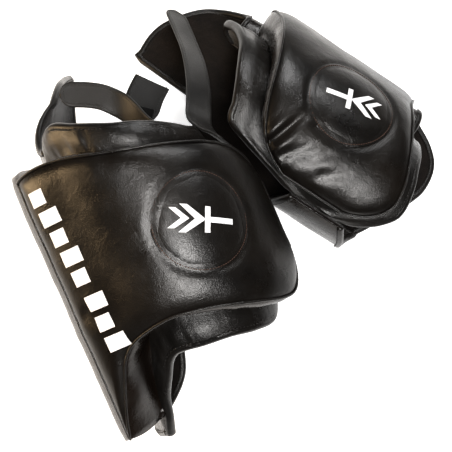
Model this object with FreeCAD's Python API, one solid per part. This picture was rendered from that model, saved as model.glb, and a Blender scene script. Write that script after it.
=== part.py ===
"""Pair of thai-boxing trainer's thigh pads, left and right, lying half over one another.

Each pad is described in its own section plane: the thigh axis runs from knee to hip, the
target's centre is at angle 0 and angles grow towards the inner side of the leg.
All lengths are in millimetres.
"""
import math
import os

import FreeCAD
import Part

V = FreeCAD.Vector

# Layers of the wrap around the thigh, as radii from the thigh axis.
LINING_IN = 86.0
LINING_OUT = 87.6
WRAP_FOAM_OUT = 94.2
WRAP_OUT = 96.0
LAYER_GAP = 0.25
GRID = 3.5

# Strike block: two foam layers and a leather face.
CORE_OUT = 117.0
STRIKE_OUT = 140.0
LEATHER = 1.6
BASE_SPAN = (-84.0, 63.0)
BLOCK_SPAN = (-80.5, 56.0)
SEAM_SPAN = (-73.5, 49.0)

# Outlines: angle round the thigh (degrees) against height along the thigh axis.
STRIKE_TOP = [(-80, 113), (-74, 118), (-68, 121), (-59, 122), (-47, 118), (-31, 107), (-20, 100),
              (-6, 92), (7, 84), (19, 76), (28, 68), (36, 58), (43, 42), (49, 15), (52, 2)]
STRIKE_BOTTOM = [(-42, -83), (-30, -80), (-20, -83), (-10, -88), (0, -95), (11, -103), (24, -111),
                 (33, -112), (40, -104), (46, -86), (49, -66), (52, -52)]
RIM_TOP = [(-84, 148), (-75, 160), (-62, 165), (-46, 154), (-33, 145), (-20, 136), (-6, 129), (6, 122),
           (15, 116), (30, 106), (44, 97), (50, 70), (57, 30), (63, -2)]
RIM_BOTTOM = [(-42, -121), (-22, -124), (-4, -127), (15, -133), (35, -134), (48, -120),
              (56, -104), (60, -92), (63, -76)]

# Round target sewn to the strike face.
TARGET_R = 55.0
TARGET_FOAM_R = 52.0
TARGET_RISE = 7.0
TARGET_EDGE = 2.0
TARGET_LEATHER = 1.3

# Inner wing, against distance from its fold line.
INNER_WING_TOP = [(0, -4), (20, 6), (45, 10), (68, 0), (80, -20)]
INNER_WING_BOTTOM = [(0, -76), (20, -90), (45, -98), (68, -108), (80, -118)]
WING_T = 7.0
WING_BEND = 147.0
STRAP_W = 38.0
LOW_STRAP_W = 56.0
STRAP_T = 3.6


class Pad:
    """Placement of one pad: thigh axis, target direction and inner side of the leg."""

    def __init__(self, name, origin, turn, shape):
        self.name = name
        self.origin = V(*origin)
        self.shape = shape
        self.shift = shape["shift"]
        self.strike_bottom = shape["strike_tail"] + STRIKE_BOTTOM
        self.rim_bottom = shape["rim_tail"] + RIM_BOTTOM
        heading, lift, roll = turn
        a, b, c = math.radians(heading), math.radians(lift), math.radians(roll)
        self.hip = V(math.cos(a) * math.cos(b), math.sin(a) * math.cos(b), math.sin(b))
        side = V(math.sin(a), -math.cos(a), 0)
        up = side.cross(self.hip)
        self.face = up * math.cos(c) + side * math.sin(c)
        self.inner = side * math.cos(c) - up * math.sin(c)
        if shape["mirrored"]:
            self.inner = self.inner * -1
        self.outward = side if shape["mirrored"] else side * -1
        self.up = up
        self.level = V(0, 0, -math.sin(b))

    def point(self, x, y, z):
        return self.origin + self.inner * x + self.face * y + self.hip * z

    def lean_at(self, z, share):
        """Inward lean of the outer wing's tall end beyond its bend line."""
        if share == 0.0:
            return V(0, 0, 0)
        lean = self.shape["lean"] * min(share * 3, 1.0)
        return self.outward * (-lean * max(z - WING_BEND, 0.0))

    def local(self, across, height):
        """Section coordinates of a point given by its sideways and vertical distance."""
        d = self.outward * across + self.up * height
        return d.dot(self.inner), d.dot(self.face)


RIGHT = Pad("right", (-95.4, -59.8, 139.0), (114.3, 10.5, 16.4), {
    "mirrored": False, "shift": 0.0, "flare": 14.0, "lean": 0.6, "settle": (0.05, 0.37),
    "strike_tail": [(-80, -182), (-74, -187), (-71, -169), (-67, -147), (-63, -125), (-59, -105),
                    (-53, -91)],
    "rim_tail": [(-84, -208), (-75, -188), (-69, -168), (-58, -145), (-50, -128)],
    "outer_wing_top": [(0, 148), (12, 150), (24, 168), (36, 198), (48, 222), (60, 238),
                       (80, 250), (105, 257), (126, 260), (142, 246), (155, 212), (168, 184),
                       (178, 166), (190, 150), (205, 146)],
    "outer_wing_bottom": [(0, -206), (30, -210), (60, -214), (100, -214), (135, -210),
                          (161, -202), (175, -193), (194, -172), (202, -152), (205, -140)],
    "outer_wing": [(89.9, 33.8), (96, 12), (100, -28), (102, -72), (97, -108), (80, -133),
                   (56, -140.3), (34, -140.3)],
    "inner_wing": [(-94.9, 14.7), (-97, -6), (-95, -32), (-87, -58), (-72, -80), (-54, -92)],
    "top_strap": [(-62, 49, 72), (-46, 28, 98), (-33, 10, 124), (-24, -3, 148), (-14, -10, 169),
                  (3, -13, 188), (32, -16, 204), (47, -16, 209)],
    "low_strap": [(28, -140.3, 60), (10, -137.8, 58), (-12, -127.8, 54), (-30, -113.8, 50)],
})
LEFT = Pad("left", (73.8, 58.6, 72.0), (149.0, 11.0, 21.2), {
    "mirrored": True, "shift": 9.0, "flare": 0.0, "lean": 0.0, "settle": (0.0, 0.113),
    "strike_tail": [(-80, -96), (-62, -90)],
    "rim_tail": [(-84, -124), (-60, -122)],
    "outer_wing_top": [(0, 148), (14, 156), (30, 163), (55, 162), (66, 168), (78, 198),
                       (95, 228), (127, 257), (149, 266), (175, 266), (185, 262), (190, 205),
                       (194, 154), (205, 148), (255, 140)],
    "outer_wing_bottom": [(0, -108), (30, -116), (66, -112), (81, -118), (98, -146),
                          (113, -163), (129, -171), (152, -172), (170, -165), (188, -154),
                          (205, -143), (230, -127), (247, -110), (255, -82)],
    "outer_wing": [(91.9, -28.1), (94.5, -33.5), (102, -37.5), (118, -38), (136, -38),
                   (144.7, -40.3), (151, -46.7), (153.35, -55.35), (151, -64), (144.7, -70.4),
                   (136, -72.7), (110, -72.7), (80, -72.7), (50, -72.7), (20, -72.7),
                   (-10, -72.7), (-35, -72.7), (-56, -72.7)],
    "inner_wing": [(-66.2, 69.6), (-73, 57), (-77, 38), (-77, 14), (-71, -10), (-58, -30),
                   (-40, -42)],
    "top_strap": [(-53, 68, 96), (-50, 53, 118), (-42, 41, 136), (-24, 31, 147), (3, 13, 161),
                  (41, -23, 186), (73, -62, 213), (108, -101, 247)],
    "low_strap": [(8, -72.7, 228), (-12, -72.7, 226), (-32, -72.7, 221), (-54, -72.7, 213)],
})


def smooth(points, t):
    """Smooth value through (position, value) pairs."""
    xs = [p[0] for p in points]
    ys = [p[1] for p in points]
    t = min(max(t, xs[0]), xs[-1])
    i = max(j for j in range(len(xs) - 1) if xs[j] <= t)
    step = xs[i + 1] - xs[i]
    slope = [(ys[min(j + 1, len(xs) - 1)] - ys[max(j - 1, 0)])
             / (xs[min(j + 1, len(xs) - 1)] - xs[max(j - 1, 0)]) for j in (i, i + 1)]
    s = (t - xs[i]) / step
    return ((1 + 2 * s) * (1 - s) ** 2 * ys[i] + s * (1 - s) ** 2 * step * slope[0]
            + s * s * (3 - 2 * s) * ys[i + 1] + s * s * (s - 1) * step * slope[1])


def angles(span):
    """Section angles on one common grid, so that neighbouring layers follow each other."""
    start, end = span
    first = math.floor(start / GRID) + 1
    last = math.ceil(end / GRID) - 1
    return [start] + [i * GRID for i in range(first, last + 1)] + [end]


def spread(start, end, count):
    return [start + (end - start) * i / (count - 1) for i in range(count)]


def loft(pad, stations, profile, level=None):
    """Solid through one closed profile of (x, y, z) corners for each station.

    level(t) is the share by which the piece lies level instead of along the thigh axis.
    """
    wires = []
    for t in stations:
        share = level(t) if level else 0.0
        corners = [pad.point(*c) + pad.level * (c[2] * share) + pad.lean_at(c[2], share)
                   for c in profile(t)]
        wires.append(Part.makePolygon(corners + corners[:1]))
    shape = Part.makeLoft(wires, True, True)
    if shape.Volume < 0:
        shape.reverse()
    return shape


def arc_piece(pad, span, corners):
    """Piece bent round the thigh: corners(angle) gives (radius, height) pairs."""
    def profile(t):
        a = math.radians(t)
        return [(r * math.sin(a), r * math.cos(a), z) for r, z in corners(t)]
    return loft(pad, angles(span), profile)


def lengths(path):
    """Distance along a section path to each of its points."""
    run = [0.0]
    for a, b in zip(path, path[1:]):
        run.append(run[-1] + math.hypot(b[0] - a[0], b[1] - a[1]))
    return run


def path_piece(pad, path, span, count, corners, level=None):
    """Piece that follows a path in section: corners(s) gives (depth, height) pairs.

    The path has (outward, vertical) points; depth is measured to the outside of its curve.
    """
    pts = [pad.local(p[0], p[1]) for p in path]
    run = lengths(path)
    line = [[(s, p[k]) for s, p in zip(run, pts)] for k in (0, 1)]
    total = run[-1]
    turn = 1.0 if pts[0][0] * pts[-1][1] - pts[0][1] * pts[-1][0] > 0 else -1.0

    def profile(t):
        s = t * total
        x, y = smooth(line[0], s), smooth(line[1], s)
        e = 0.5
        dx = smooth(line[0], s + e) - smooth(line[0], s - e)
        dy = smooth(line[1], s + e) - smooth(line[1], s - e)
        n = math.hypot(dx, dy)
        nx, ny = turn * dy / n, -turn * dx / n
        return [(x + nx * d, y + ny * d, z) for d, z in corners(t)]
    return loft(pad, spread(span[0], span[1], count), profile, level)


def box_corners(inside, outside, bottom, top):
    return [(inside, bottom), (outside, bottom), (outside, top), (inside, top)]


def wing_corners(inside, outside, bottom, top):
    """Like box_corners, with one more pair of corners on the wing's bend line."""
    bend = min(max(WING_BEND, bottom + 1.0), top - 1.0)
    return [(inside, bottom), (outside, bottom), (outside, bend), (outside, top), (inside, top),
            (inside, bend)]


def rim(pad, t):
    return smooth(pad.rim_bottom, t) + pad.shift, smooth(RIM_TOP, t) + pad.shift


def outline(pad, t):
    return smooth(pad.strike_bottom, t) + pad.shift, smooth(STRIKE_TOP, t) + pad.shift


def ease(s):
    s = min(max(s, 0.0), 1.0)
    return s * s * (3 - 2 * s)


def strike_out(pad, t):
    """Outer radius of the strike face, which flares out towards the outer side of the leg."""
    return STRIKE_OUT + pad.shape["flare"] * ease((-48.0 - t) / 26.0)


def block_radius(pad, t):
    """Outer radius of the strike foam, rounded off towards both long sides."""
    over = max(SEAM_SPAN[0] - t, 0) / 8.0 + max(t - SEAM_SPAN[1], 0) / 6.5
    return strike_out(pad, t) - LEATHER - LAYER_GAP - 22.0 * over ** 2


def wrap(pad):
    """Thigh wrap: lining, foam and leather, with binding strips on both rims."""
    parts = {}
    layers = {
        "wrap_lining": (LINING_IN, LINING_OUT - LAYER_GAP),
        "wrap_foam": (LINING_OUT, WRAP_FOAM_OUT - LAYER_GAP),
        "wrap_leather": (WRAP_FOAM_OUT, WRAP_OUT),
    }
    for name, (low, high) in layers.items():
        parts[name] = arc_piece(pad, BASE_SPAN,
                                lambda t, a=low, b=high: box_corners(a, b, *rim(pad, t)))
    for name, k, side in (("rim_binding_hip", 1, 1.0), ("rim_binding_knee", 0, -1.0)):
        parts[name] = arc_piece(
            pad, BASE_SPAN,
            lambda t, k=k, side=side: box_corners(
                LINING_IN - 0.5, WRAP_OUT + 0.5,
                rim(pad, t)[k] + side * LAYER_GAP, rim(pad, t)[k] + side * (LAYER_GAP + 2.4)))
    return parts


def strike_block(pad):
    """Strike foam in two layers, its leather face and the four side panels."""
    base = WRAP_OUT + LAYER_GAP
    parts = {
        "strike_core": arc_piece(pad, BLOCK_SPAN, lambda t: box_corners(
            base, min(CORE_OUT, block_radius(pad, t)) - LAYER_GAP, *outline(pad, t))),
        "strike_foam": arc_piece(pad, (SEAM_SPAN[0] - GRID, SEAM_SPAN[1] + GRID), lambda t: box_corners(
            CORE_OUT, block_radius(pad, t), *outline(pad, t))),
        "strike_face": arc_piece(pad, SEAM_SPAN, lambda t: box_corners(
            strike_out(pad, t) - LEATHER, strike_out(pad, t), *outline(pad, t))),
    }
    for name, k, side in (("gusset_hip", 1, 1.0), ("gusset_knee", 0, -1.0)):
        parts[name] = arc_piece(
            pad, SEAM_SPAN,
            lambda t, k=k, side=side: box_corners(
                base, strike_out(pad, t),
                outline(pad, t)[k] + side * 1.0, outline(pad, t)[k] + side * (1.0 + LEATHER)))
    for name, start, end in (("gusset_outer", BLOCK_SPAN[0] + GRID, SEAM_SPAN[0] - 0.2),
                             ("gusset_inner", SEAM_SPAN[1] + 0.2, BLOCK_SPAN[1])):
        parts[name] = arc_piece(pad, (start, end), lambda t: box_corners(
            block_radius(pad, t) + LAYER_GAP, block_radius(pad, t) + LAYER_GAP + LEATHER,
            *outline(pad, t)))
    return parts


def dome(pad, lift):
    """Everything below the target's rounded face, moved out by lift."""
    reach = TARGET_R + 4.0
    grid = []
    for x in spread(-reach, reach, 13):
        row = []
        for z in spread(-reach, reach, 13):
            share = min((x * x + z * z) / TARGET_R ** 2, 1.6)
            rise = TARGET_EDGE + (TARGET_RISE - TARGET_EDGE) * (1 - share)
            row.append(pad.point(x, math.sqrt(STRIKE_OUT ** 2 - x * x) + rise + lift, z))
        grid.append(row)
    surface = Part.BSplineSurface()
    surface.interpolate(grid)
    return surface.toShape().extrude(pad.face * -30)


def disc(pad, radius):
    return Part.makeCylinder(radius, 60, pad.point(0, STRIKE_OUT - 35, 0), pad.face)


def target(pad):
    """Round puck of foam under a sewn leather disc with a printed device."""
    start = pad.point(0, 0, -70)
    strike = Part.makeCylinder(STRIKE_OUT + LAYER_GAP, 140, start, pad.hip)
    pocket = dome(pad, -TARGET_LEATHER).common(disc(pad, TARGET_FOAM_R + 0.3))
    foam = dome(pad, -TARGET_LEATHER - LAYER_GAP).common(disc(pad, TARGET_FOAM_R)).cut(strike)
    leather = dome(pad, 0).common(disc(pad, TARGET_R)).cut(strike).cut(pocket)
    prints = [device_outline(pad, shape) for shape in DEVICE]
    device = prints[0]
    for shape in prints[1:]:
        device = device.fuse(shape)
    device = dome(pad, 0.5).common(device).cut(dome(pad, 0.1))
    return {"target_foam": foam, "target_leather": leather, "target_device": device}


# Printed device: plain bars and a ring of three chevrons, in target coordinates.
DEVICE = [
    [(-34, -3), (-6, -3), (-6, 3), (-34, 3)],
    [(-8, -14), (-2, -14), (-2, 14), (-8, 14)],
    [(-3, 0), (18, 15), (26, 15), (9, 0), (26, -15), (18, -15)],
    [(15, 0), (30, 11), (37, 11), (24, 0), (37, -11), (30, -11)],
]
DEVICE_TURN = {"right": 154.0, "left": -104.0}


def device_outline(pad, shape):
    """Prism of one printed shape, turned in the plane of the target."""
    a = math.radians(DEVICE_TURN[pad.name])
    corners = []
    for u, v in shape:
        x = u * math.cos(a) - v * math.sin(a)
        z = u * math.sin(a) + v * math.cos(a)
        corners.append(pad.point(x, STRIKE_OUT - 15, z))
    return Part.Face(Part.makePolygon(corners + corners[:1])).extrude(pad.face * 40)


# Plain printed bars along the outer side: middle angle and lower end of each.
SIDE_BARS = ((-63, 84), (-62, 60), (-61, 36), (-60, 12), (-59, -12), (-58, -42), (-57.5, -66),
             (-57, -90))
BAR_LENGTH = 17.0


def side_bars(pad):
    """Printed bars along the outer side of the strike face."""
    bars = []
    for i, (angle, height) in enumerate(SIDE_BARS):
        low = height + pad.shift
        bars.append(arc_piece(pad, (angle - 4.5, angle + (4.5 if i % 2 else 2.5)),
                              lambda t: box_corners(strike_out(pad, t) + 0.3,
                                                    strike_out(pad, t) + 0.7,
                                                    low, low + BAR_LENGTH)))
    return {"side_bars": Part.makeCompound(bars)}


def level(pad):
    """The outer wing turns from lying along the thigh axis to lying level on the floor."""
    start, length = pad.shape["settle"]
    return lambda t: ease((t - start) / length)


def wing(pad, key, top, bottom, clear):
    """Soft side wing: lining, foam and leather on one path, fold edge at the wrap."""
    path = pad.shape[key]
    length = top[-1][0]
    layers = {"leather": (-LEATHER, 0.0), "foam": (-WING_T + 1.7, -LEATHER - LAYER_GAP),
              "lining": (-WING_T, -WING_T + 1.45)}
    parts = {}
    for name, (low, high) in layers.items():
        parts[key + "_" + name] = path_piece(
            pad, path, (clear, 1.0), 60,
            lambda t, a=low, b=high: wing_corners(a, b, smooth(bottom, t * length),
                                                  smooth(top, t * length)),
            level(pad) if key == "outer_wing" else None)
    return parts


def strap(pad, key, width, face):
    """Flat strap with a hook or loop face on its end."""
    path = pad.shape[key]
    run = lengths(path)
    heights = [(s / run[-1], p[2]) for s, p in zip(run, path)]
    half = width / 2
    flat = (lambda t: 1.0) if key == "low_strap" else None
    body = path_piece(pad, path, (0.0, 1.0), 14, lambda t: box_corners(
        -STRAP_T, 0.0, smooth(heights, t) - half, smooth(heights, t) + half), flat)
    patch = path_piece(pad, path, (0.62, 0.97), 8, lambda t: box_corners(
        -STRAP_T - face - 1.0, -STRAP_T - face,
        smooth(heights, t) - half + 6, smooth(heights, t) + half - 6), flat)
    return {key: body, key + "_hook": patch}


def ear_patch(pad):
    """Loop patch on the outside of the outer wing's tall end."""
    return {"loop_patch": path_piece(pad, pad.shape["outer_wing"], (0.08, 0.19), 10,
                                     lambda t: box_corners(0.25, 1.25, 30, 110), level(pad))}


def build(pad):
    parts = {}
    for group in (wrap(pad), strike_block(pad), target(pad), side_bars(pad),
                  wing(pad, "outer_wing", pad.shape["outer_wing_top"],
                       pad.shape["outer_wing_bottom"], 0.012),
                  wing(pad, "inner_wing", INNER_WING_TOP, INNER_WING_BOTTOM, 0.025),
                  ear_patch(pad),
                  strap(pad, "top_strap", STRAP_W, 0.25),
                  strap(pad, "low_strap", LOW_STRAP_W, 0.25)):
        parts.update(group)
    return parts


def main():
    os.makedirs("parts", exist_ok=True)
    for pad in (LEFT, RIGHT):
        for name, shape in build(pad).items():
            shape.exportStep("parts/%s_%s.step" % (pad.name, name))


main()
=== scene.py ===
import math

import bmesh
import bpy
import numpy as np
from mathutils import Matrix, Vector, noise


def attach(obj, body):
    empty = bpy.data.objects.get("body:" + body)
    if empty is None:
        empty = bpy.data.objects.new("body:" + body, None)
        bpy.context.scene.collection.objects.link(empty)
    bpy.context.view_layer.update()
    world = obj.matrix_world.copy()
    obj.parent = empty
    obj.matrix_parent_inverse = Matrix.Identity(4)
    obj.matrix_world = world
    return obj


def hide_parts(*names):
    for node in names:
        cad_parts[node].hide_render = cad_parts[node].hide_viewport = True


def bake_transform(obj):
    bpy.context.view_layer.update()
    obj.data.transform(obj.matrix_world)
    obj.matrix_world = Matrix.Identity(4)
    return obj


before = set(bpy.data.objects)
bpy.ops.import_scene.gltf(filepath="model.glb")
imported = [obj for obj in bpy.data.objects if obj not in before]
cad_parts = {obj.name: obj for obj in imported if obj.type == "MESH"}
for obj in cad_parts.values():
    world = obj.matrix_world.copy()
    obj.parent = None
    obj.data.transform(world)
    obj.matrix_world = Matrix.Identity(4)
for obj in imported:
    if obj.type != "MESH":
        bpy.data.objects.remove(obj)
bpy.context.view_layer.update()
MM = 0.001

# ---------------------------------------------------------------- sizes, in millimetres
LINING_R = 86.4
WRAP_R = 95.6
STRIKE_R = 138.5
TARGET_R = 55.0
BASE_SPAN = (-84.0, 63.0)
SEAM_SPAN = (-73.5, 49.0)
WING_T = 7.0
TOP_STRAP_W = {"right": 31.0, "left": 34.0}
LOW_STRAP_W = 52.0
STRAP_T = 3.4
PIPING_R = 1.6
PRINT_LIFT = 0.15
PRINT_THICK = 0.35
FLOOR_Z = -1.5

CAMERA_AIM = (-0.0242, -0.0405, 0.120)
CAMERA_ELEVATION = 78.0
CAMERA_DISTANCE = 1.16
CAMERA_LENS = 76.46

STRIKE_TOP = [(-80, 113), (-74, 118), (-68, 121), (-59, 122), (-47, 118), (-31, 107), (-20, 100),
              (-6, 92), (7, 84), (19, 76), (28, 68), (36, 58), (43, 42), (49, 15), (52, 2)]
STRIKE_BOTTOM = [(-42, -83), (-30, -80), (-20, -83), (-10, -88), (0, -95), (11, -103), (24, -111),
                 (33, -112), (40, -104), (46, -86), (49, -66), (52, -52)]
RIM_TOP = [(-84, 148), (-75, 160), (-62, 165), (-46, 154), (-33, 145), (-20, 136), (-6, 129), (6, 122),
           (15, 116), (30, 106), (44, 97), (50, 70), (57, 30), (63, -2)]
RIM_BOTTOM = [(-42, -121), (-22, -124), (-4, -127), (15, -133), (35, -134), (48, -120),
              (56, -104), (60, -92), (63, -76)]
INNER_WING_TOP = [(0, -4), (20, 6), (45, 10), (68, 0), (80, -20)]
INNER_WING_BOTTOM = [(0, -76), (20, -90), (45, -98), (68, -108), (80, -118)]
WING_BEND = 147.0


class Pad:
    """Placement of one pad: the same thigh axis, face direction and inner side as the CAD."""

    def __init__(self, name, origin, turn, shape):
        self.name = name
        self.origin = np.array(origin, float)
        self.shape = shape
        self.shift = shape["shift"]
        self.mirrored = mirrored = shape["mirrored"]
        self.strike_bottom = shape["strike_tail"] + STRIKE_BOTTOM
        self.rim_bottom = shape["rim_tail"] + RIM_BOTTOM
        heading, lift, roll = turn
        a, b, c = math.radians(heading), math.radians(lift), math.radians(roll)
        self.hip = np.array([math.cos(a) * math.cos(b), math.sin(a) * math.cos(b), math.sin(b)])
        side = np.array([math.sin(a), -math.cos(a), 0.0])
        self.up = np.cross(side, self.hip)
        self.face = self.up * math.cos(c) + side * math.sin(c)
        inner = side * math.cos(c) - self.up * math.sin(c)
        self.inner = -inner if mirrored else inner
        self.outward = side if mirrored else -side
        self.level = np.array([0.0, 0.0, -math.sin(b)])

    def at(self, x, y, z, share=0.0):
        p = self.origin + self.inner * x + self.face * y + self.hip * z + self.level * (z * share)
        lean = self.shape["lean"] * min(share * 3, 1.0)
        p = p - self.outward * (lean * max(z - WING_BEND, 0.0))
        return Vector(p * MM)

    def polar(self, angle, r, z):
        a = math.radians(angle)
        return self.at(r * math.sin(a), r * math.cos(a), z)

    def local(self, across, height):
        d = self.outward * across + self.up * height
        return d @ self.inner, d @ self.face


RIGHT = Pad("right", (-95.4, -59.8, 139.0), (114.3, 10.5, 16.4), {
    "mirrored": False, "shift": 0.0, "flare": 14.0, "lean": 0.6, "settle": (0.05, 0.37),
    "strike_tail": [(-80, -182), (-74, -187), (-71, -169), (-67, -147), (-63, -125), (-59, -105),
                    (-53, -91)],
    "rim_tail": [(-84, -208), (-75, -188), (-69, -168), (-58, -145), (-50, -128)],
    "outer_wing_top": [(0, 148), (12, 150), (24, 168), (36, 198), (48, 222), (60, 238),
                       (80, 250), (105, 257), (126, 260), (142, 246), (155, 212), (168, 184),
                       (178, 166), (190, 150), (205, 146)],
    "outer_wing_bottom": [(0, -206), (30, -210), (60, -214), (100, -214), (135, -210),
                          (161, -202), (175, -193), (194, -172), (202, -152), (205, -140)],
    "outer_wing": [(89.9, 33.8), (96, 12), (100, -28), (102, -72), (97, -108), (80, -133),
                   (56, -140.3), (34, -140.3)],
    "inner_wing": [(-94.9, 14.7), (-97, -6), (-95, -32), (-87, -58), (-72, -80), (-54, -92)],
    "top_strap": [(-62, 49, 72), (-46, 28, 98), (-33, 10, 124), (-24, -3, 148), (-14, -10, 169),
                  (3, -13, 188), (32, -16, 204), (47, -16, 209)],
    "low_strap": [(28, -140.3, 60), (10, -137.8, 58), (-12, -127.8, 54), (-30, -113.8, 50)],
})
LEFT = Pad("left", (73.8, 58.6, 72.0), (149.0, 11.0, 21.2), {
    "mirrored": True, "shift": 9.0, "flare": 0.0, "lean": 0.0, "settle": (0.0, 0.113),
    "strike_tail": [(-80, -96), (-62, -90)],
    "rim_tail": [(-84, -124), (-60, -122)],
    "outer_wing_top": [(0, 148), (14, 156), (30, 163), (55, 162), (66, 168), (78, 198),
                       (95, 228), (127, 257), (149, 266), (175, 266), (185, 262), (190, 205),
                       (194, 154), (205, 148), (255, 140)],
    "outer_wing_bottom": [(0, -108), (30, -116), (66, -112), (81, -118), (98, -146),
                          (113, -163), (129, -171), (152, -172), (170, -165), (188, -154),
                          (205, -143), (230, -127), (247, -110), (255, -82)],
    "outer_wing": [(91.9, -28.1), (94.5, -33.5), (102, -37.5), (118, -38), (136, -38),
                   (144.7, -40.3), (151, -46.7), (153.35, -55.35), (151, -64), (144.7, -70.4),
                   (136, -72.7), (110, -72.7), (80, -72.7), (50, -72.7), (20, -72.7),
                   (-10, -72.7), (-35, -72.7), (-56, -72.7)],
    "inner_wing": [(-66.2, 69.6), (-73, 57), (-77, 38), (-77, 14), (-71, -10), (-58, -30),
                   (-40, -42)],
    "top_strap": [(-53, 68, 96), (-50, 53, 118), (-42, 41, 136), (-24, 31, 147), (3, 13, 161),
                  (41, -23, 186), (73, -62, 213), (108, -101, 247)],
    "low_strap": [(8, -72.7, 228), (-12, -72.7, 226), (-32, -72.7, 221), (-54, -72.7, 213)],
})


# ---------------------------------------------------------------- small helpers
def smooth(points, t):
    """Smooth value through (position, value) pairs."""
    xs = [p[0] for p in points]
    ys = [p[1] for p in points]
    t = min(max(t, xs[0]), xs[-1])
    i = max(j for j in range(len(xs) - 1) if xs[j] <= t)
    step = xs[i + 1] - xs[i]
    last = len(xs) - 1
    slope = [(ys[min(j + 1, last)] - ys[max(j - 1, 0)])
             / (xs[min(j + 1, last)] - xs[max(j - 1, 0)]) for j in (i, i + 1)]
    s = (t - xs[i]) / step
    return ((1 + 2 * s) * (1 - s) ** 2 * ys[i] + s * (1 - s) ** 2 * step * slope[0]
            + s * s * (3 - 2 * s) * ys[i + 1] + s * s * (s - 1) * step * slope[1])


def spread(start, end, count):
    return [start + (end - start) * i / (count - 1) for i in range(count)]


def ease(t):
    t = min(max(t, 0.0), 1.0)
    return t * t * (3 - 2 * t)


def ripple(x, y, z, scale, seed=0.0):
    """Smooth noise between about -1 and 1; scale is the size of its lumps."""
    return noise.noise(Vector((x / scale + seed, y / scale, z / scale + seed * 0.37)))


def make_object(name, verts, faces, materials, indices=None):
    mesh = bpy.data.meshes.new(name)
    mesh.from_pydata([tuple(v) for v in verts], [], faces)
    for m in materials:
        mesh.materials.append(m)
    if indices:
        for p, k in zip(mesh.polygons, indices):
            p.material_index = k
    bm = bmesh.new()
    bm.from_mesh(mesh)
    bmesh.ops.recalc_face_normals(bm, faces=bm.faces)
    bm.to_mesh(mesh)
    bm.free()
    mesh.shade_smooth()
    obj = bpy.data.objects.new(name, mesh)
    bpy.context.collection.objects.link(obj)
    return obj


def skin(name, rings, materials, pick=None, loop=False):
    """Mesh through a list of rings of points; pick(ring, k) gives a face's material number."""
    n = len(rings[0])
    verts = [p for ring in rings for p in ring]
    faces, indices = [], []
    turns = len(rings) if loop else len(rings) - 1
    for i in range(turns):
        j = (i + 1) % len(rings)
        for k in range(n):
            m = (k + 1) % n
            faces.append((i * n + k, i * n + m, j * n + m, j * n + k))
            indices.append(pick(i, k) if pick else 0)
    if not loop:
        for i, order in ((0, 1), (len(rings) - 1, -1)):
            ring = [i * n + k for k in range(n)][::order]
            half = n // 2
            for k in range(half - 1 if n % 2 == 0 else half):
                quad = [ring[k], ring[k + 1], ring[n - 2 - k], ring[n - 1 - k]]
                if len(set(quad)) == 4:
                    faces.append(tuple(quad))
                    indices.append(pick(i, 0) if pick else 0)
    return make_object(name, verts, faces, materials, indices)


def frames_along(points):
    """Tangents of a polyline."""
    last = len(points) - 1
    return [(points[min(i + 1, last)] - points[max(i - 1, 0)]).normalized()
            for i in range(len(points))]


def tube(name, points, radius, material, sides=8, loop=False):
    """Round cord through points."""
    n = len(points)
    rings = []
    normal = None
    for i, p in enumerate(points):
        a = points[(i + 1) % n] if loop or i < n - 1 else p
        b = points[i - 1] if loop or i > 0 else p
        t = (a - b).normalized()
        if normal is None:
            normal = t.orthogonal().normalized()
        normal = (normal - t * normal.dot(t)).normalized()
        side = t.cross(normal)
        rings.append([p + (normal * math.cos(w) + side * math.sin(w)) * radius
                      for w in [2 * math.pi * k / sides for k in range(sides)]])
    return skin(name, rings, [material], loop=loop)


def resample(points, step):
    """Points every step metres along a polyline, with their fractional index."""
    out, carry = [], 0.0
    for i in range(len(points) - 1):
        a, b = points[i], points[i + 1]
        d = (b - a).length
        while carry <= d and d > 0:
            out.append((i + carry / d, a.lerp(b, carry / d)))
            carry += step
        carry -= d
    return out


def stitches(name, points, normals, material, pitch=4.2, length=2.7, width=0.55):
    """A row of short thread stitches lying along a line on a surface."""
    verts, faces = [], []
    for f, p in resample(points, pitch * MM):
        i = min(int(f), len(points) - 2)
        t = (points[i + 1] - points[i]).normalized()
        n = normals[i].lerp(normals[i + 1], f - i).normalized()
        side = t.cross(n).normalized()
        base = len(verts)
        for u, w in ((-0.5, 0.35), (-0.28, 1.0), (0.0, 1.15), (0.28, 1.0), (0.5, 0.35)):
            for k in range(6):
                a = 2 * math.pi * k / 6
                verts.append(p + t * (u * length * MM) + side * (math.cos(a) * w * width * MM)
                             + n * (math.sin(a) * w * width * MM * 0.8))
        for r in range(4):
            for k in range(6):
                m = (k + 1) % 6
                faces.append((base + r * 6 + k, base + r * 6 + m, base + r * 6 + 6 + m,
                              base + r * 6 + 6 + k))
        faces.append(tuple(base + k for k in range(6))[::-1])
        faces.append(tuple(base + 24 + k for k in range(6)))
    return make_object(name, verts, faces, [material])


def tape(name, points, outs, normals, half, width, material, loop=False):
    """Folded edge tape: outs point off the edge, normals off the face, half is half the edge."""
    rings = []
    for p, o, n in zip(points, outs, normals):
        ring = []
        for a, b in ((-width, half + 0.1), (-width + 0.5, half + 1.0), (-width * 0.5, half + 1.15),
                     (-0.6, half + 0.9), (1.1, half * 0.72 + 0.5), (1.9, half * 0.3), (1.9, -half * 0.3),
                     (1.1, -half * 0.72 - 0.5), (-0.6, -half - 0.9), (-width * 0.5, -half - 1.15),
                     (-width + 0.5, -half - 1.0), (-width, -half - 0.1)):
            ring.append(p + o * (a * MM) + n * (b * MM))
        rings.append(ring)
    return skin(name, rings, [material], loop=loop)


def join(name, objs):
    """One object from several, keeping their materials."""
    bpy.ops.object.select_all(action="DESELECT")
    for o in objs:
        o.select_set(True)
    bpy.context.view_layer.objects.active = objs[0]
    bpy.ops.object.join()
    objs[0].name = name
    return objs[0]


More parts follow.
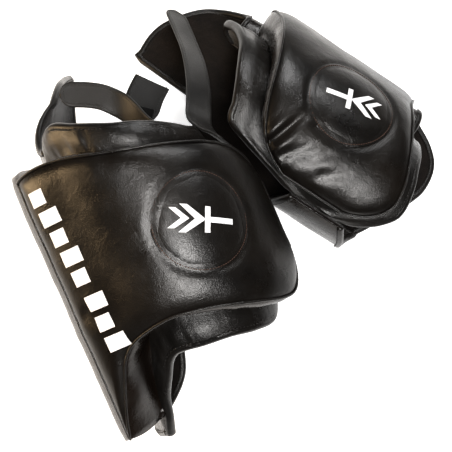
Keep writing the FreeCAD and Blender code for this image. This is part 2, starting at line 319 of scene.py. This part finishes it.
# ---------------------------------------------------------------- materials
def new_material(name):
    m = bpy.data.materials.new(name)
    m.use_nodes = True
    nodes, links = m.node_tree.nodes, m.node_tree.links
    return m, nodes, links, nodes["Principled BSDF"]


def mapped_noise(nodes, links, scale, detail, rough=0.5, kind="ShaderNodeTexNoise"):
    coord = nodes.get("coord") or nodes.new("ShaderNodeTexCoord")
    coord.name = "coord"
    tex = nodes.new(kind)
    tex.inputs["Scale"].default_value = scale
    if "Detail" in tex.inputs:
        tex.inputs["Detail"].default_value = detail
    if "Roughness" in tex.inputs:
        tex.inputs["Roughness"].default_value = rough
    links.new(coord.outputs["Object"], tex.inputs["Vector"])
    return tex


def ramp(nodes, links, source, stops):
    node = nodes.new("ShaderNodeValToRGB")
    while len(node.color_ramp.elements) < len(stops):
        node.color_ramp.elements.new(0.5)
    for e, (pos, col) in zip(node.color_ramp.elements, stops):
        e.position = pos
        e.color = col if len(col) == 4 else (*col, 1)
    links.new(source, node.inputs["Fac"])
    return node


def bump(nodes, links, height, strength, distance, before=None):
    node = nodes.new("ShaderNodeBump")
    node.inputs["Strength"].default_value = strength
    node.inputs["Distance"].default_value = distance
    links.new(height, node.inputs["Height"])
    if before:
        links.new(before.outputs["Normal"], node.inputs["Normal"])
    return node


def leather(name, dark, light, low, high, grain=0.35, crease=0.3, specular=0.42):
    """Coated leather: pebble grain, soft creases, uneven gloss and slightly worn colour."""
    m, nodes, links, p = new_material(name)
    cloud = mapped_noise(nodes, links, 14, 4)
    colour = ramp(nodes, links, cloud.outputs["Fac"], [(0.35, dark), (0.7, light)])
    links.new(colour.outputs["Color"], p.inputs["Base Color"])
    patch = mapped_noise(nodes, links, 22, 6, 0.6)
    gloss = ramp(nodes, links, patch.outputs["Fac"], [(0.3, (low,) * 3), (0.72, (high,) * 3)])
    links.new(gloss.outputs["Color"], p.inputs["Roughness"])
    pebble = mapped_noise(nodes, links, 1300, 0, kind="ShaderNodeTexVoronoi")
    pebble.feature = "SMOOTH_F1"
    first = bump(nodes, links, pebble.outputs["Distance"], grain, 0.0004)
    fold = mapped_noise(nodes, links, 75, 5, 0.62)
    fold.inputs["Distortion"].default_value = 0.8
    second = bump(nodes, links, fold.outputs["Fac"], crease, 0.0016, first)
    links.new(second.outputs["Normal"], p.inputs["Normal"])
    p.inputs["Specular IOR Level"].default_value = specular
    return m


def fleece(name, dark, light):
    """Brushed lining: short fibres, matt with a soft sheen."""
    m, nodes, links, p = new_material(name)
    cloud = mapped_noise(nodes, links, 60, 8, 0.7)
    colour = ramp(nodes, links, cloud.outputs["Fac"], [(0.3, dark), (0.75, light)])
    links.new(colour.outputs["Color"], p.inputs["Base Color"])
    fibre = mapped_noise(nodes, links, 1500, 3, 0.8)
    nap = mapped_noise(nodes, links, 180, 4, 0.7)
    first = bump(nodes, links, fibre.outputs["Fac"], 0.8, 0.0006)
    second = bump(nodes, links, nap.outputs["Fac"], 0.5, 0.0015, first)
    links.new(second.outputs["Normal"], p.inputs["Normal"])
    p.inputs["Roughness"].default_value = 0.92
    p.inputs["Sheen Weight"].default_value = 0.25
    p.inputs["Sheen Roughness"].default_value = 0.5
    p.inputs["Specular IOR Level"].default_value = 0.2
    return m


def thread(name, colour, rough=0.6):
    m, nodes, links, p = new_material(name)
    twist = mapped_noise(nodes, links, 900, 2)
    tone = ramp(nodes, links, twist.outputs["Fac"],
                [(0.3, tuple(c * 0.6 for c in colour)), (0.7, colour)])
    links.new(tone.outputs["Color"], p.inputs["Base Color"])
    node = bump(nodes, links, twist.outputs["Fac"], 0.6, 0.0003)
    links.new(node.outputs["Normal"], p.inputs["Normal"])
    p.inputs["Roughness"].default_value = rough
    return m


def printed(name):
    """White printed film: a little uneven, with fine cracks of the leather under it."""
    m, nodes, links, p = new_material(name)
    cloud = mapped_noise(nodes, links, 120, 6, 0.7)
    colour = ramp(nodes, links, cloud.outputs["Fac"],
                  [(0.25, (0.72, 0.72, 0.74)), (0.6, (0.9, 0.9, 0.91))])
    links.new(colour.outputs["Color"], p.inputs["Base Color"])
    pebble = mapped_noise(nodes, links, 1300, 0, kind="ShaderNodeTexVoronoi")
    node = bump(nodes, links, pebble.outputs["Distance"], 0.25, 0.0003)
    links.new(node.outputs["Normal"], p.inputs["Normal"])
    p.inputs["Roughness"].default_value = 0.42
    return m


LEATHER = leather("black_leather", (0.004, 0.0034, 0.003), (0.010, 0.0078, 0.006), 0.26, 0.40)
# Copy of the black leather for the gusset walls and wing outsides. Its browner, lighter colour is a
# painted warm reflection; the lower roughness and deeper creases are the leather's own.
BROWN_SHEEN_LEATHER = leather("brown_sheen_leather", (0.005, 0.0036, 0.0028), (0.014, 0.009, 0.0062), 0.20, 0.34,
                       crease=0.5)
# Copy of the black leather for piping, bindings, tapes and the wrap's outside. Its lighter colour is a
# painted highlight along these edges; the coarser grain is its own.
EDGE_HIGHLIGHT_LEATHER = leather("edge_leather", (0.006, 0.0055, 0.005), (0.015, 0.013, 0.0115), 0.26, 0.40,
                       grain=0.5)
STRAP_LEATHER = leather("strap_leather", (0.012, 0.0115, 0.011), (0.024, 0.023, 0.0215), 0.40, 0.54,
                        grain=0.5, crease=0.15)
LINING = fleece("lining_fleece", (0.003, 0.0022, 0.0018), (0.013, 0.009, 0.007))
HOOK = fleece("hook_tape", (0.004, 0.004, 0.004), (0.012, 0.012, 0.012))
THREAD = thread("black_thread", (0.024, 0.022, 0.02))
# Target stitches: a brownish thread colour, made redder and lighter than the black thread as a painted
# reflection of the orange-brown glint along the groove.
GLINT_BROWN_THREAD = thread("target_thread", (0.09, 0.045, 0.03))
PRINT = printed("white_print")


# ---------------------------------------------------------------- strike block
def strike_limits(pad, angle):
    return smooth(pad.strike_bottom, angle) + pad.shift, smooth(STRIKE_TOP, angle) + pad.shift


FOLDS = {
    # each fold: start and end in arc millimetres and height, depth, half width
    "left": [((102, 58), (42, 38), 8.0, 5.0), ((104, 40), (64, 6), 3.4, 5.0),
             ((98, 74), (60, 62), 2.4, 6.0), ((100, 22), (66, -14), 2.0, 6.0),
             ((72, 76), (40, 84), 1.6, 7.0), ((98, -10), (76, -44), 1.6, 6.0)],
    "right": [((-160, -40), (-128, -66), 1.6, 9.0), ((60, 96), (48, 66), 1.6, 6.0),
              ((80, 86), (64, 60), 1.6, 6.0), ((-60, 120), (-74, 84), 1.2, 8.0)],
}


def fold_depth(pad, x, z):
    """Depth of the listed folds at a point of the unrolled face."""
    total = 0.0
    for (ax, az), (bx, bz), depth, half in FOLDS[pad.name]:
        dx, dz = bx - ax, bz - az
        t = ((x - ax) * dx + (z - az) * dz) / (dx * dx + dz * dz)
        if -0.15 < t < 1.0:
            off = (x - ax - dx * t) * dz - (z - az - dz * t) * dx
            d = abs(off) / math.hypot(dx, dz) / half
            along = ease((t + 0.15) / 0.25) * (1 - max(t, 0)) ** 0.7
            total += depth * along * (math.exp(-d * d) - 0.35 * math.exp(-(d - 2.0) ** 2))
    return total


def face_radius(pad, angle, z):
    """Radius of the strike face: crowned, rounded at its seam and softly uneven."""
    low, high = strike_limits(pad, angle)
    x = math.radians(angle) * STRIKE_R
    edge = min(max((z - low) * 0.75, 0), max((high - z) * 0.9, 0),
               math.radians(angle - SEAM_SPAN[0]) * STRIKE_R,
               math.radians(SEAM_SPAN[1] + 0.3 - angle) * STRIKE_R)
    r = STRIKE_R + pad.shape["flare"] * ease((-48.0 - angle) / 26.0)
    r += 2.6 - 6.0 * math.exp(-max(edge, 0) / 7.0)
    r += 1.3 * ripple(x, z, 0, 60, 3.1 if pad.mirrored else 7.7)
    r += 0.5 * ripple(x, z, 0, 22, 1.7)
    ring = math.hypot(x, z) - TARGET_R
    r -= 1.6 * math.exp(-(ring / 3.4) ** 2)
    return r - fold_depth(pad, x, z)


def seam_angles(count):
    """Angles across the face, closer together where the outline is steep."""
    dense = spread(SEAM_SPAN[0], -48.0, int(count * 0.34))
    return dense[:-1] + spread(-48.0, SEAM_SPAN[1], count - len(dense) + 1)


def strike_block(pad):
    nv, nh = 60, 14
    angles = seam_angles(74)
    verts, faces, indices = [], [], []
    flat = {}
    for i, angle in enumerate(angles):
        low, high = strike_limits(pad, angle)
        for j in range(nv):
            t = j / (nv - 1)
            t -= 0.12 * math.sin(2 * math.pi * t) / (2 * math.pi)
            z = low + (high - low) * t
            flat[len(verts)] = (angle, z)
            verts.append(pad.polar(angle, face_radius(pad, angle, z), z))
    nu = len(angles)
    for i in range(nu - 1):
        for j in range(nv - 1):
            a = i * nv + j
            faces.append((a, a + nv, a + nv + 1, a + 1))
            indices.append(0)
    border = [i * nv for i in range(nu)]
    border += [(nu - 1) * nv + j for j in range(1, nv)]
    border += [i * nv + nv - 1 for i in range(nu - 2, -1, -1)]
    border += [j for j in range(nv - 2, 0, -1)]
    outline = [flat[k] for k in border]
    n = len(border)
    previous = border
    outs = []
    for k in range(n):
        (a0, z0), (a1, z1) = outline[(k - 2) % n], outline[(k + 2) % n]
        tx, tz = math.radians(a1 - a0) * STRIKE_R, z1 - z0
        size = math.hypot(tx, tz) or 1.0
        outs.append((tz / size, -tx / size))
    for h in range(1, nh + 1):
        s = h / nh
        row = []
        for k in range(n):
            angle, z = outline[k]
            ox, oz = outs[k]
            lateral = max(-ox, 0.0) ** 2
            wave = ripple(math.radians(angle) * 120, z, 0, 17, 5.0) * 3.4
            notch = math.exp(-((math.radians(angle + 60) * STRIKE_R) / 26) ** 2) * (z < 0)
            bulge = 4.5 + (30.0 if pad.shape["flare"] else 12.0) * lateral
            bulge *= math.sin(math.pi * min(s * 1.15, 1.0)) ** 0.8
            bulge += wave * (0.35 + 0.9 * notch) * math.sin(math.pi * s)
            bulge -= 3.0 * s * (1 - lateral)
            top = face_radius(pad, angle, z)
            drop = s ** (1.25 + 0.7 * lateral)
            r = top + (WRAP_R + 0.6 - top) * drop
            r += 2.0 * notch * math.sin(2 * math.pi * s) * ripple(z, angle, 0, 13, 2.0)
            row.append(len(verts))
            shift = bulge / max(r, 60)
            verts.append(pad.polar(angle + math.degrees(shift) * ox, r, z + bulge * oz))
        for k in range(n):
            m = (k + 1) % n
            faces.append((previous[k], previous[m], row[m], row[k]))
            indices.append(1)
        previous = row
    centre = len(verts)
    verts.append(pad.polar(-20, WRAP_R + 0.6, 0))
    for k in range(n):
        m = (k + 1) % n
        faces.append((previous[k], previous[m], centre))
        indices.append(1)
    obj = make_object(pad.name + "_strike_block", verts, faces, [LEATHER, BROWN_SHEEN_LEATHER], indices)
    line = []
    for k in range(n):
        angle, z = outline[k]
        ox, oz = outs[k]
        p = verts[border[k]]
        radial = (pad.polar(angle, 200, z) - pad.polar(angle, 100, z)).normalized()
        out = (pad.polar(angle + ox, 140, z + oz * 2.4) - pad.polar(angle, 140, z)).normalized()
        line.append(p + radial * (0.5 * MM) + out * (0.7 * MM))
    return obj, line


def target_rise(rho):
    """Rise of the target's face over the strike face, from its stitched rim inwards."""
    t = min(rho / TARGET_R, 1.0)
    return 0.6 + 4.0 * (1 - t ** 3.2) - 0.5 * math.exp(-((rho - 50) / 3) ** 2)


def target_point(pad, x, z, lift=0.0):
    """Point of the target's face; x runs to the inner side, z to the hip."""
    rho = math.hypot(x, z)
    y = math.sqrt((STRIKE_R + 0.6) ** 2 - x * x) + target_rise(rho) + lift
    y += 0.35 * ripple(x, z, 0, 20, 9.0)
    return pad.at(x, y, z)


def target(pad):
    """Domed round leather disc with a stitched rim."""
    rings, steps = [], 96
    for rho in (0.5, 4, 9, 14, 19, 24, 29, 34, 38, 42, 45, 47.5, 49.5, 51, 52.4, 53.6, 54.6, 55.2):
        rings.append([target_point(pad, rho * math.cos(a), rho * math.sin(a))
                      for a in [2 * math.pi * k / steps for k in range(steps)]])
    under = [[pad.at(rho * math.cos(a), math.sqrt(STRIKE_R ** 2 - (rho * math.cos(a)) ** 2) - 3,
                     rho * math.sin(a)) for a in [2 * math.pi * k / steps for k in range(steps)]]
             for rho in (55.4, 30, 0.5)]
    disc = skin(pad.name + "_target", rings + under, [LEATHER])
    line, normals = [], []
    for k in range(181):
        a = 2 * math.pi * k / 180
        p = target_point(pad, 52.6 * math.cos(a), 52.6 * math.sin(a), 0.2)
        line.append(p)
        out = pad.at(math.cos(a), 0, math.sin(a)) - pad.at(0, 0, 0)
        up = pad.at(0, 1, 0) - pad.at(0, 0, 0)
        normals.append((up.normalized() * 0.9 + out.normalized() * 0.4).normalized())
    # Stitched rim in the brown thread whose red tint is a painted glint.
    row = stitches(pad.name + "_target_stitches", line, normals, GLINT_BROWN_THREAD, 3.0, 2.2, 0.5)
    return disc, row


DEVICE = [
    [(-34, -3), (-6, -3), (-6, 3), (-34, 3)],
    [(-8, -14), (-2, -14), (-2, 14), (-8, 14)],
    [(-3, 0), (18, 15), (26, 15), (9, 0), (26, -15), (18, -15)],
    [(15, 0), (30, 11), (37, 11), (24, 0), (37, -11), (30, -11)],
]
DEVICE_TURN = {"right": 154.0, "left": -104.0}


def plate(name, polygons, place, thick, material):
    """Thin printed plate: flat polygons cut into small faces and laid on a surface."""
    bm = bmesh.new()
    for polygon in polygons:
        face = bm.faces.new([bm.verts.new((u, v, 0)) for u, v in polygon])
        bmesh.ops.triangulate(bm, faces=[face])
    bmesh.ops.subdivide_edges(bm, edges=bm.edges[:], cuts=3, use_grid_fill=True)
    bmesh.ops.triangulate(bm, faces=bm.faces[:])
    bmesh.ops.recalc_face_normals(bm, faces=bm.faces[:])
    kept = bm.faces[:]
    result = bmesh.ops.extrude_face_region(bm, geom=kept)
    top = [g for g in result["geom"] if isinstance(g, bmesh.types.BMVert)]
    for v in top:
        v.co.z = 1.0
    for v in bm.verts:
        v.co = place(v.co.x, v.co.y, thick if v.co.z > 0.5 else 0.0)
    bmesh.ops.recalc_face_normals(bm, faces=bm.faces[:])
    mesh = bpy.data.meshes.new(name)
    bm.to_mesh(mesh)
    bm.free()
    mesh.materials.append(material)
    obj = bpy.data.objects.new(name, mesh)
    bpy.context.collection.objects.link(obj)
    return obj


def device(pad):
    a = math.radians(DEVICE_TURN[pad.name])

    def place(u, v, lift):
        x, z = u * math.cos(a) - v * math.sin(a), u * math.sin(a) + v * math.cos(a)
        return target_point(pad, x, z, PRINT_LIFT + lift)
    return plate(pad.name + "_device", DEVICE, place, PRINT_THICK, PRINT)


SIDE_BARS = ((-63, 84), (-62, 60), (-61, 36), (-60, 12), (-59, -12), (-58, -42), (-57.5, -66),
             (-57, -90))
BAR_LENGTH = 17.0


def side_bars(pad):
    """Plain printed bars along the outer side of the strike face."""
    polygons = []
    for i, (angle, height) in enumerate(SIDE_BARS):
        x0 = math.radians(angle - 4.5) * 140
        x1 = math.radians(angle + (4.5 if i % 2 else 2.5)) * 140
        polygons.append([(x0, height), (x1, height), (x1, height + BAR_LENGTH),
                         (x0, height + BAR_LENGTH)])

    def place(u, v, lift):
        angle, z = math.degrees(u / 140), v + pad.shift
        return pad.polar(angle, face_radius(pad, angle, z) + PRINT_LIFT + lift, z)
    return plate(pad.name + "_side_print", polygons, place, PRINT_THICK, PRINT)


# ---------------------------------------------------------------- wrap and wings
def rim_limits(pad, angle):
    return smooth(pad.rim_bottom, angle) + pad.shift, smooth(RIM_TOP, angle) + pad.shift


def wrap(pad):
    """Padded band round the thigh: leather outside, fleece inside, rounded rims."""
    rings, nv = [], 46
    for angle in spread(BASE_SPAN[0], BASE_SPAN[1], 90):
        low, high = rim_limits(pad, angle)
        x = math.radians(angle) * WRAP_R
        ring = []
        for j in range(nv):
            t = j / (nv - 1)
            z = low + (high - low) * t
            r = LINING_R + 0.8 * ripple(x, z, 0, 30, 4.0) * math.sin(math.pi * t)
            ring.append(pad.polar(angle, r, z))
        for a, b in ((0.18, 1.0), (0.5, 1.5), (0.82, 1.0)):
            ring.append(pad.polar(angle, LINING_R + (WRAP_R - LINING_R) * a, high + b))
        for j in range(nv - 1, -1, -1):
            t = j / (nv - 1)
            z = low + (high - low) * t
            gap = min(z - low, high - z)
            fat = 2.8 * math.exp(-((gap - 16) / 13) ** 2)
            gather = math.exp(-((x + 72) / 34) ** 2) if z < 0 else math.exp(-((x + 88) / 42) ** 2)
            fine = ripple(x * 2.6, z * 0.5, 0, 15, 8.0) * 1.0
            wave = ripple(x, z * 0.7, 0, 24, 6.0) * (1.3 + 2.2 * gather) + fine * (0.4 + gather)
            ring.append(pad.polar(angle, WRAP_R + fat + wave * ease(gap / 9), z))
        for a, b in ((0.82, 1.0), (0.5, 1.5), (0.18, 1.0)):
            ring.append(pad.polar(angle, LINING_R + (WRAP_R - LINING_R) * a, low - b))
        rings.append(ring)
    return skin(pad.name + "_wrap", rings, [LINING, EDGE_HIGHLIGHT_LEATHER],
                lambda i, k: 0 if k < nv - 1 else 1)


def rim_tape(pad, k, side):
    """Edge tape over one rim of the wrap, with its row of stitches."""
    points, outs, normals, row, row_normals = [], [], [], [], []
    middle = (LINING_R + WRAP_R) / 2
    stations = spread(BASE_SPAN[0], BASE_SPAN[1], 120)
    edge = [pad.polar(a, middle, rim_limits(pad, a)[k]) for a in stations]
    for a, p, t in zip(stations, edge, frames_along(edge)):
        radial = (pad.polar(a, 200, 0) - pad.polar(a, 100, 0)).normalized()
        out = t.cross(radial).normalized()
        hip = Vector(pad.hip) * side
        out = out if out.dot(hip) > 0 else -out
        points.append(p)
        outs.append(out)
        normals.append(radial)
        row.append(p - out * (5.2 * MM) + radial * (5.9 * MM))
        row_normals.append(radial)
    tag = "hip" if side > 0 else "knee"
    strip = tape(pad.name + "_rim_tape_" + tag, points, outs, normals, 4.6, 6.6, EDGE_HIGHLIGHT_LEATHER)
    thread_row = stitches(pad.name + "_rim_stitches_" + tag, row, row_normals, THREAD)
    return strip, thread_row


class Path:
    """A path in a pad's section plane, with unit normals to the outside of its curve."""

    def __init__(self, pad, points):
        pts = [pad.local(p[0], p[1]) for p in points]
        run = [0.0]
        for a, b in zip(pts, pts[1:]):
            run.append(run[-1] + math.hypot(b[0] - a[0], b[1] - a[1]))
        self.pad = pad
        self.total = run[-1]
        self.heights = [(s / run[-1], p[2]) for s, p in zip(run, points) if len(p) > 2]
        self.line = [[(s, p[k]) for s, p in zip(run, pts)] for k in (0, 1)]
        self.turn = 1.0 if pts[0][0] * pts[-1][1] - pts[0][1] * pts[-1][0] > 0 else -1.0

    def at(self, t, depth, z, share=0.0):
        s = t * self.total
        x, y = smooth(self.line[0], s), smooth(self.line[1], s)
        dx = smooth(self.line[0], s + 1) - smooth(self.line[0], s - 1)
        dy = smooth(self.line[1], s + 1) - smooth(self.line[1], s - 1)
        n = math.hypot(dx, dy)
        nx, ny = self.turn * dy / n, -self.turn * dx / n
        return self.pad.at(x + nx * depth, y + ny * depth, z, share)

    def normal(self, t, share=0.0):
        n = self.at(t, 10, 0) - self.at(t, 0, 0)
        flat = Vector(self.pad.hip + self.pad.level * share).normalized()
        return (n - flat * n.dot(flat)).normalized()


def level(pad):
    start, length = pad.shape["settle"]
    return lambda t: ease((t - start) / length)


def wing(pad, key, top, bottom, start, share):
    """Soft side wing: leather outside, fleece inside, softly buckled."""
    path = Path(pad, pad.shape[key])
    length = top[-1][0]
    rings, nv = [], 40
    for t in spread(start, 1.0, 64):
        low, high = smooth(bottom, t * length), smooth(top, t * length)
        lie = share(t)
        fade = ease(t / 0.12)
        ring = []
        for j in range(nv):
            z = low + (high - low) * j / (nv - 1)
            dent = ripple(t * path.total, z, 0, 34, 2.0) * 1.2 * fade
            ring.append(path.at(t, -WING_T + 0.3 + dent * 0.7, z, lie))
        ring.append(path.at(t, -WING_T * 0.75, high + 0.8, lie))
        ring.append(path.at(t, -WING_T * 0.25, high + 0.8, lie))
        for j in range(nv - 1, -1, -1):
            z = low + (high - low) * j / (nv - 1)
            dent = ripple(t * path.total, z, 0, 34, 2.0) * 1.2 * fade
            ring.append(path.at(t, -0.7 + min(dent, 0.4), z, lie))
        ring.append(path.at(t, -WING_T * 0.25, low - 0.8, lie))
        ring.append(path.at(t, -WING_T * 0.75, low - 0.8, lie))
        rings.append(ring)
    body = skin(pad.name + "_" + key, rings, [LINING, BROWN_SHEEN_LEATHER],
                lambda i, k: 0 if k < nv - 1 else 1)
    edge, normals = [], []
    for t in spread(start, 0.995, 60):
        edge.append(path.at(t, -WING_T / 2, smooth(top, t * length), share(t)))
        normals.append(path.normal(t, share(t)))
    low, high = smooth(bottom, length), smooth(top, length)
    for z in spread(high - 6, low + 6, 30):
        edge.append(path.at(1.0, -WING_T / 2, z, share(1.0)))
        normals.append(path.normal(0.995, share(1.0)))
    for t in spread(0.995, start, 60):
        edge.append(path.at(t, -WING_T / 2, smooth(bottom, t * length), share(t)))
        normals.append(path.normal(t, share(t)))
    outs, row, inner_row = [], [], []
    centre = path.at(0.5, -WING_T / 2, 20, share(0.5))
    for p, n, t in zip(edge, normals, frames_along(edge)):
        out = t.cross(n).normalized()
        outs.append(out)
    flip = sum((p - centre).dot(o) for p, o in zip(edge, outs)) < 0
    outs = [-o if flip else o for o in outs]
    for p, n, o in zip(edge, normals, outs):
        row.append(p - o * (4.6 * MM) + n * (4.5 * MM))
        inner_row.append(p - o * (4.6 * MM) - n * (4.5 * MM))
    strip = tape(pad.name + "_" + key + "_tape", edge, outs, normals, WING_T / 2 - 0.3, 6.0,
                 EDGE_HIGHLIGHT_LEATHER)
    rows = join(pad.name + "_" + key + "_stitches", [
        stitches("a", row, normals, THREAD),
        stitches("b", inner_row, [-n for n in normals], THREAD)])
    return body, strip, rows, path


def ribbon(pad, key, width):
    """Flat stitched strap with a rounded free end."""
    path = Path(pad, pad.shape[key])
    heights = path.heights
    share = 1.0 if key == "low_strap" else 0.0
    count = 60
    centre = [path.at(t, -STRAP_T / 2, smooth(heights, t), share) for t in spread(0, 1, count)]
    run = [0.0]
    for a, b in zip(centre, centre[1:]):
        run.append(run[-1] + (b - a).length / MM)
    rings, left, right, ups = [], [], [], []
    for i, (p, t) in enumerate(zip(centre, frames_along(centre))):
        n = path.normal(i / (count - 1), share)
        n = (n - t * n.dot(t)).normalized()
        side = t.cross(n).normalized()
        back = run[-1] - run[i]
        half = width / 2
        if back < half:
            half = max(math.sqrt(max(half * half - (half - back) ** 2, 0)), 1.2)
        ring = []
        for u, h in ((-1, 0.25), (-0.96, 0.85), (-0.86, 1.0), (-0.74, 0.9), (-0.3, 0.86), (0.3, 0.86),
                     (0.74, 0.9), (0.86, 1.0), (0.96, 0.85), (1, 0.25)):
            ring.append(p + side * (u * half * MM) + n * (h * STRAP_T / 2 * MM))
        for u, h in ((1, 0.25), (0.96, 0.85), (0.86, 1.0), (0.74, 0.9), (0.3, 0.86), (-0.3, 0.86),
                     (-0.74, 0.9), (-0.86, 1.0), (-0.96, 0.85), (-1, 0.25)):
            ring.append(p + side * (u * half * MM) - n * (h * STRAP_T / 2 * MM))
        rings.append(ring)
        if back > 4:
            inset = max(half - 4.2, 0.5)
            left.append(p - side * (inset * MM) + n * (STRAP_T / 2 * 0.95 * MM))
            right.append(p + side * (inset * MM) + n * (STRAP_T / 2 * 0.95 * MM))
            ups.append(n)
    body = skin(pad.name + "_" + key + "_band", rings, [STRAP_LEATHER])
    border = left + right[::-1]
    normals = ups + ups[::-1]
    gap = STRAP_T * 0.95 * MM
    rows = join(pad.name + "_" + key + "_stitches", [
        stitches("a", border, normals, THREAD, 3.6, 2.4, 0.5),
        stitches("b", [p - n * gap for p, n in zip(border, normals)], [-n for n in normals],
                 THREAD, 3.6, 2.4, 0.5)])
    return body, rows


def hook_face(pad, key, width):
    """Hook tape on the hidden face of a strap's free end."""
    path = Path(pad, pad.shape[key])
    heights = path.heights
    share = 1.0 if key == "low_strap" else 0.0
    rings = []
    for t in spread(0.62, 0.93, 20):
        p = path.at(t, -STRAP_T - 0.2, smooth(heights, t), share)
        q = path.at(t + 0.01, -STRAP_T - 0.2, smooth(heights, t + 0.01), share)
        n = path.normal(t, share)
        along = (q - p).normalized()
        n = (n - along * n.dot(along)).normalized()
        side = along.cross(n).normalized()
        half = width / 2 - 7
        rings.append([p + side * (u * half * MM) - n * (h * MM)
                      for u, h in ((-1, 0), (-0.9, 1.0), (0.9, 1.0), (1, 0))])
    return skin(pad.name + "_" + key + "_hook_face", rings, [HOOK])


def loop_face(pad):
    """Loop tape on the outside of the outer wing, near the wrap."""
    path = Path(pad, pad.shape["outer_wing"])
    rings = []
    for t in spread(0.08, 0.19, 14):
        rings.append([path.at(t, d, z, level(pad)(t))
                      for z, d in ((30, 0.0), (32, 1.0), (108, 1.0), (110, 0.0))])
    return skin(pad.name + "_loop_face", rings, [HOOK])


# ---------------------------------------------------------------- build both pads
def add(piece, body, *nodes):
    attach(piece, body)
    if nodes:
        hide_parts(*nodes)
    return piece


def build(pad):
    n = pad.name
    body = n + "_pad"
    block, line = strike_block(pad)
    add(block, body, *[n + "_" + k for k in ("strike_core", "strike_foam", "strike_face",
                                             "gusset_hip", "gusset_knee", "gusset_outer",
                                             "gusset_inner")])
    piping = tube(n + "_seam_piping", line, PIPING_R * MM, EDGE_HIGHLIGHT_LEATHER, 8, loop=True)
    add(piping, body)
    disc, ring = target(pad)
    add(disc, body, n + "_target_foam", n + "_target_leather")
    add(ring, body)
    add(device(pad), body, n + "_target_device")
    add(side_bars(pad), body, n + "_side_bars")
    band = wrap(pad)
    add(band, body, n + "_wrap_lining", n + "_wrap_foam", n + "_wrap_leather")
    for k, side, tag in ((1, 1.0, "hip"), (0, -1.0, "knee")):
        strip, row = rim_tape(pad, k, side)
        add(strip, body, n + "_rim_binding_" + tag)
        add(row, body)
    for key, top, bottom, start, share in (
            ("outer_wing", pad.shape["outer_wing_top"], pad.shape["outer_wing_bottom"], 0.012,
             level(pad)),
            ("inner_wing", INNER_WING_TOP, INNER_WING_BOTTOM, 0.025, lambda t: 0.0)):
        panel, strip, rows, path = wing(pad, key, top, bottom, start, share)
        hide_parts(*[n + "_" + key + "_" + k for k in ("leather", "foam", "lining")])
        a, b = path.at(0.0, -2, 0), path.at(0.12, -2, 0)
        for piece in (panel, strip, rows):
            if (n, key) == ("left", "outer_wing"):
                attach(piece, body)
            else:
                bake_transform(piece)
                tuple(a)
                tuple(b)
    add(loop_face(pad), body if n == "left" else n + "_outer_wing", n + "_loop_patch")
    for key, width in (("top_strap", TOP_STRAP_W[n]), ("low_strap", LOW_STRAP_W)):
        strap, rows = ribbon(pad, key, width)
        add(strap, n + "_" + key, n + "_" + key)
        add(rows, n + "_" + key)
        add(hook_face(pad, key, width), n + "_" + key, n + "_" + key + "_hook")


for one in (LEFT, RIGHT):
    build(one)


# ---------------------------------------------------------------- floor, lights, camera
def area_light(name, place, aim, size, power, colour):
    data = bpy.data.lights.new(name, "AREA")
    data.shape = "RECTANGLE"
    data.size, data.size_y = size
    data.energy = power
    data.color = colour
    obj = bpy.data.objects.new(name, data)
    bpy.context.collection.objects.link(obj)
    obj.location = place
    obj.rotation_euler = (Vector(aim) - Vector(place)).to_track_quat("-Z", "Y").to_euler()


def studio():
    """Plain pale floor and three soft lights."""
    m, nodes, links, p = new_material("floor_paper")
    soft = mapped_noise(nodes, links, 3, 2)
    tone = ramp(nodes, links, soft.outputs["Fac"], [(0.2, (0.9, 0.9, 0.9)), (0.8, (0.93, 0.93, 0.93))])
    links.new(tone.outputs["Color"], p.inputs["Base Color"])
    p.inputs["Roughness"].default_value = 0.9
    p.inputs["Specular IOR Level"].default_value = 0.1
    p.inputs["Emission Color"].default_value = (1.0, 1.0, 1.0, 1.0)
    p.inputs["Emission Strength"].default_value = 0.56
    bpy.ops.mesh.primitive_plane_add(size=12, location=(0, 0, FLOOR_Z * MM))
    floor = bpy.context.object
    floor.name = "floor"
    floor.data.materials.append(m)
    world = bpy.data.worlds.new("studio")
    bpy.context.scene.world = world
    world.use_nodes = True
    back = world.node_tree.nodes["Background"]
    back.inputs["Color"].default_value = (0.95, 0.93, 0.9, 1)
    back.inputs["Strength"].default_value = 0.07
    centre = (-0.02, -0.02, 0.12)
    area_light("key", (0.15, -0.6, 2.0), centre, (0.5, 0.4), 34, (1.0, 0.98, 0.96))
    area_light("top", (0.5, 1.3, 1.5), centre, (1.0, 0.25), 20, (1.0, 1.0, 1.0))
    area_light("warm", (-1.7, -0.2, 0.7), centre, (0.35, 1.1), 20, (1.0, 0.72, 0.42))
    bpy.context.scene.view_settings.view_transform = "Standard"
    bpy.context.scene.view_settings.look = "Medium High Contrast"


def camera():
    """Fixed view from steeply above, in front of the pads."""
    data = bpy.data.cameras.new("camera")
    data.sensor_width = 36
    data.lens = CAMERA_LENS
    obj = bpy.data.objects.new("camera", data)
    bpy.context.collection.objects.link(obj)
    e = math.radians(CAMERA_ELEVATION)
    back = Vector((0, -math.cos(e), math.sin(e)))
    obj.location = Vector(CAMERA_AIM) + back * CAMERA_DISTANCE
    obj.rotation_euler = (-back).to_track_quat("-Z", "Y").to_euler()
    bpy.context.scene.camera = obj


studio()
camera()
